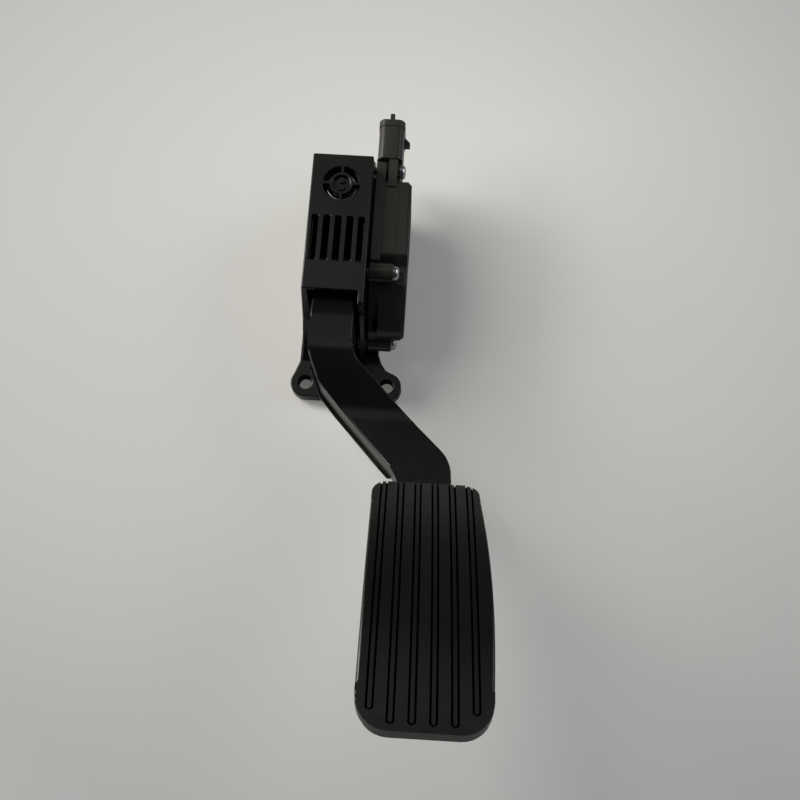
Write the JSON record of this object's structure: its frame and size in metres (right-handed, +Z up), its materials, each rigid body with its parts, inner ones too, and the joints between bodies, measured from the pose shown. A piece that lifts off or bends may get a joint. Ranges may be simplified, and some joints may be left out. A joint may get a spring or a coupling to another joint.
{
  "type": "accelerator pedal",
  "caption": "Hanging accelerator pedal: slotted moulded housing with screw ears, cranked arm with grooved rubber pad, return springs and side position sensor.",
  "frame": {"origin": "midway between the two lower screw holes, on the mounting face", "axes": "as fitted in the car: +Z up, +Y into the wall behind the pedal, +X to the driver's right; the pad hangs below in -Z and stands out in -Y"},
  "size_m": [0.0945, 0.1122, 0.2781],
  "materials": {
    "housing_plastic": "fine-grained black moulding, glass-filled",
    "arm_plastic": "fine-grained black moulding, glass-filled",
    "sensor_plastic": "satin black moulding",
    "cover_plastic": "satin black moulding",
    "pad_rubber": "satin black rubber, ribbed",
    "stop_rubber": "plain black rubber",
    "seal_rubber": "plain black rubber",
    "bush_plastic": "natural bearing plastic",
    "seat_plastic": "dark grey moulding",
    "rotor_plastic": "natural moulding",
    "friction_material": "pressed friction lining",
    "shaft_steel": "ground",
    "clip_steel": "phosphated",
    "spring_steel": "drawn wire",
    "screw_zinc": "bright zinc plate",
    "pin_brass": "tinned brass",
    "magnet_ferrite": "bonded ferrite",
    "board_laminate": "green solder mask",
    "chip_resin": "moulded resin"
  },
  "bodies": {
    "housing": {"housing": "housing_plastic", "left_bush": "bush_plastic", "right_bush": "bush_plastic", "friction_lining": "friction_material", "idle_stop": "stop_rubber", "travel_stop": "stop_rubber", "outer_spring": "spring_steel", "inner_spring": "spring_steel", "sensor_seal": "seal_rubber", "sensor_body": "sensor_plastic", "sensor_cover": "cover_plastic", "circuit_board": "board_laminate", "sensor_chip": "chip_resin", "connector_pins": "pin_brass", "sensor_screws": "screw_zinc"},
    "arm": {"pedal_arm": "arm_plastic", "pivot_shaft": "shaft_steel", "shaft_clip": "clip_steel", "friction_shoe": "friction_material", "spring_seat": "seat_plastic", "pad_cover": "pad_rubber", "rotor": "rotor_plastic", "rotor_magnet": "magnet_ferrite"}
  },
  "joints": [
    {"name": "pedal_pivot", "type": "hinge", "parent": "housing", "child": "arm", "pos_m": [-0.005, -0.028, 0.052], "axis": [1, 0, 0], "range_deg": [0, 16], "stiffness_Nm_per_rad": 9, "springref_deg": -16.04, "deforming": ["outer_spring", "inner_spring"]}
  ]
}
